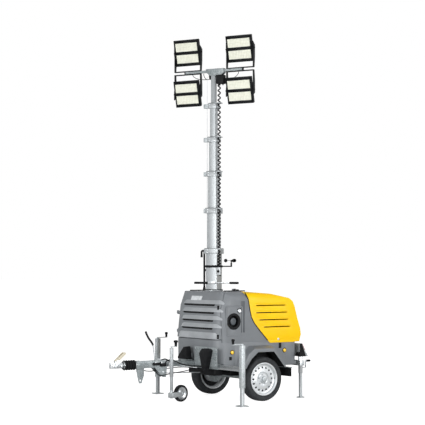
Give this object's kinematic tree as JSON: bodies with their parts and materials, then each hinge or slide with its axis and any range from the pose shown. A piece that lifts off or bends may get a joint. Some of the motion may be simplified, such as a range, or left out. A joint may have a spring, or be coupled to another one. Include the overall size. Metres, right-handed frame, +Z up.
{
  "type": "mobile light tower",
  "caption": "Towable single-axle lighting tower with a moulded generator housing, a lifting hood, outriggers and a turning telescopic mast that carries tilting floodlights.",
  "frame": {"origin": "middle of the whole tower's footprint, at ground level", "axes": "+X from the coupling towards the tail, +Y towards the far side, +Z up"},
  "size_m": [2.83, 2.13, 4.8633],
  "materials": {
    "galvanised": "hot-dip galvanised",
    "mast_metal": "galvanised, smooth",
    "bright_steel": "zinc plated",
    "grey_shell": "moulded, fine texture",
    "yellow_shell": "moulded, satin gloss",
    "black_paint": "powder coat",
    "black_plastic": "moulded",
    "lamp_housing": "die cast, black powder coat",
    "black_rubber": "moulded rubber",
    "tyre_rubber": "tyre tread rubber",
    "wheel_rim": "silver paint",
    "amber_lens": "moulded lens",
    "red_lens": "moulded lens",
    "handle_cream": "moulded",
    "power_unit_paint": "enamel"
  },
  "bodies": {
    "trailer": {"chassis_frame": "galvanised", "drawbar_beam": "galvanised", "overrun_housing": "galvanised", "coupling_head": "bright_steel", "bellows": "black_rubber", "jockey_tube": "bright_steel", "axle": "bright_steel", "base_tub": "grey_shell", "fenders": "grey_shell", "front_housing": "grey_shell", "hood_latches": "black_plastic", "power_unit": "power_unit_paint", "fuel_filler": "black_plastic", "marker_lamps": "amber_lens", "light_board": "galvanised", "tail_lamps": "red_lens", "mud_flaps": "black_rubber", "chocks": "black_rubber", "rear_jack_tubes": "bright_steel"},
    "coupling_handle": {"coupling_handle": "handle_cream"},
    "handbrake_lever": {"handbrake_lever": "black_paint"},
    "jockey_stem": {"jockey_stem": "bright_steel"},
    "jockey_fork": {"jockey_fork": "bright_steel"},
    "jockey_wheel": {"jockey_wheel": "black_rubber"},
    "wheel_near": {"rim_near": "wheel_rim", "tyre_near": "tyre_rubber"},
    "wheel_far": {"rim_far": "wheel_rim", "tyre_far": "tyre_rubber"},
    "front_door": {"front_door": "grey_shell", "door_latches": "black_plastic"},
    "hood": {"hood": "yellow_shell"},
    "outrigger_near": {"outrigger_near": "galvanised"},
    "outrigger_far": {"outrigger_far": "galvanised"},
    "jack_leg_near": {"jack_leg_near": "bright_steel"},
    "jack_leg_far": {"jack_leg_far": "bright_steel"},
    "rear_leg_near": {"rear_leg_near": "bright_steel"},
    "rear_leg_far": {"rear_leg_far": "bright_steel"},
    "mast_1": {"mast_section_1": "mast_metal", "turn_handle": "black_paint", "mast_hose": "black_rubber", "anemometer_arm": "black_paint", "coiled_cable_0": "black_rubber", "coiled_cable_1": "black_rubber"},
    "mast_2": {"mast_section_2": "mast_metal", "coiled_cable_2": "black_rubber"},
    "mast_3": {"mast_section_3": "mast_metal", "coiled_cable_3": "black_rubber"},
    "mast_4": {"mast_section_4": "mast_metal", "coiled_cable_4": "black_rubber"},
    "mast_5": {"mast_section_5": "mast_metal", "coiled_cable_5": "black_rubber"},
    "mast_6": {"mast_section_6": "mast_metal", "mast_head": "galvanised", "junction_box": "black_plastic", "lamp_yokes": "black_paint"},
    "anemometer": {"anemometer_rotor": "black_plastic"},
    "lamp_1": {"lamp_1": "lamp_housing"},
    "lamp_2": {"lamp_2": "lamp_housing"},
    "lamp_3": {"lamp_3": "lamp_housing"},
    "lamp_4": {"lamp_4": "lamp_housing"}
  },
  "joints": [
    {"name": "coupling_handle_lift", "type": "hinge", "parent": "trailer", "child": "coupling_handle", "pos_m": [-1.308, 0, 0.568], "axis": [0, -1, 0], "range_deg": [0, 50]},
    {"name": "handbrake_pull", "type": "hinge", "parent": "trailer", "child": "handbrake_lever", "pos_m": [-0.7, 0.063, 0.5], "axis": [0, -1, 0], "range_deg": [0, 55]},
    {"name": "jockey_raise", "type": "slide", "parent": "trailer", "child": "jockey_stem", "axis": [0, 0, 1], "range_m": [-0.08, 0.08]},
    {"name": "jockey_swivel", "type": "hinge", "parent": "jockey_stem", "child": "jockey_fork", "pos_m": [-0.547, -0.094, 0.16], "axis": [0, 0, 1], "continuous": true},
    {"name": "jockey_spin", "type": "hinge", "parent": "jockey_fork", "child": "jockey_wheel", "pos_m": [-0.38451, -0.06535, 0.11], "axis": [-0.1736, 0.9848, 0], "continuous": true},
    {"name": "wheel_near_spin", "type": "hinge", "parent": "trailer", "child": "wheel_near", "pos_m": [0.535, -0.5835, 0.29], "axis": [0, 1, 0], "continuous": true},
    {"name": "wheel_far_spin", "type": "hinge", "parent": "trailer", "child": "wheel_far", "pos_m": [0.535, 0.5835, 0.29], "axis": [0, 1, 0], "continuous": true},
    {"name": "front_door_swing", "type": "hinge", "parent": "trailer", "child": "front_door", "pos_m": [-0.033, 0.546, 1.1], "axis": [0, 0, -1], "range_deg": [0, 50]},
    {"name": "hood_lift", "type": "hinge", "parent": "trailer", "child": "hood", "pos_m": [0.299, 0, 1.457], "axis": [0, -1, 0], "range_deg": [0, 45]},
    {"name": "outrigger_near_retract", "type": "slide", "parent": "trailer", "child": "outrigger_near", "axis": [0, 1, 0], "range_m": [0, 0.3]},
    {"name": "outrigger_far_retract", "type": "slide", "parent": "trailer", "child": "outrigger_far", "axis": [0, -1, 0], "range_m": [0, 0.3]},
    {"name": "jack_near_raise", "type": "slide", "parent": "outrigger_near", "child": "jack_leg_near", "axis": [0, 0, 1], "range_m": [-0.15, 0.2]},
    {"name": "jack_far_raise", "type": "slide", "parent": "outrigger_far", "child": "jack_leg_far", "axis": [0, 0, 1], "range_m": [-0.15, 0.2]},
    {"name": "rear_near_raise", "type": "slide", "parent": "trailer", "child": "rear_leg_near", "axis": [0, 0, 1], "range_m": [-0.05, 0.15]},
    {"name": "rear_far_raise", "type": "slide", "parent": "trailer", "child": "rear_leg_far", "axis": [0, 0, 1], "range_m": [-0.05, 0.15]},
    {"name": "mast_turn", "type": "hinge", "parent": "trailer", "child": "mast_1", "pos_m": [0.185, 0, 1.45], "axis": [0, 0, 1], "range_deg": [-170, 170]},
    {"name": "mast_extend", "type": "slide", "parent": "mast_1", "child": "mast_2", "axis": [0, 0, 1], "range_m": [-0.466, 0.66], "deforming": ["coiled_cable_1"]},
    {"name": "mast_3_slide", "type": "slide", "parent": "mast_2", "child": "mast_3", "axis": [0, 0, 1], "range_m": [-0.4205, 0.5953], "deforming": ["coiled_cable_2"]},
    {"name": "mast_4_slide", "type": "slide", "parent": "mast_3", "child": "mast_4", "axis": [0, 0, 1], "range_m": [-0.3885, 0.55], "deforming": ["coiled_cable_3"]},
    {"name": "mast_5_slide", "type": "slide", "parent": "mast_4", "child": "mast_5", "axis": [0, 0, 1], "range_m": [-0.3835, 0.5429], "deforming": ["coiled_cable_4"]},
    {"name": "mast_6_slide", "type": "slide", "parent": "mast_5", "child": "mast_6", "axis": [0, 0, 1], "range_m": [-0.1895, 0.2682], "deforming": ["coiled_cable_5"]},
    {"name": "anemometer_spin", "type": "hinge", "parent": "mast_1", "child": "anemometer", "pos_m": [0.25359, -0.30681, 1.837], "axis": [0, 0, 1], "continuous": true},
    {"name": "lamp_1_tilt", "type": "hinge", "parent": "mast_6", "child": "lamp_1", "pos_m": [0.3805, -0.33862, 4.681], "axis": [0.5, -0.866, 0], "range_deg": [-35, 60]},
    {"name": "lamp_2_tilt", "type": "hinge", "parent": "mast_6", "child": "lamp_2", "pos_m": [-0.0105, 0.33862, 4.681], "axis": [0.5, -0.866, 0], "range_deg": [-35, 60]},
    {"name": "lamp_3_tilt", "type": "hinge", "parent": "mast_6", "child": "lamp_3", "pos_m": [0.3805, -0.33862, 4.119], "axis": [0.5, -0.866, 0], "range_deg": [-35, 60]},
    {"name": "lamp_4_tilt", "type": "hinge", "parent": "mast_6", "child": "lamp_4", "pos_m": [-0.0105, 0.33862, 4.119], "axis": [0.5, -0.866, 0], "range_deg": [-35, 60]}
  ],
  "couplings": [
    {"joint": "mast_3_slide", "follows": "mast_extend", "ratio": 0.90129},
    {"joint": "mast_4_slide", "follows": "mast_extend", "ratio": 0.83262},
    {"joint": "mast_5_slide", "follows": "mast_extend", "ratio": 0.82189},
    {"joint": "mast_6_slide", "follows": "mast_extend", "ratio": 0.40558}
  ]
}
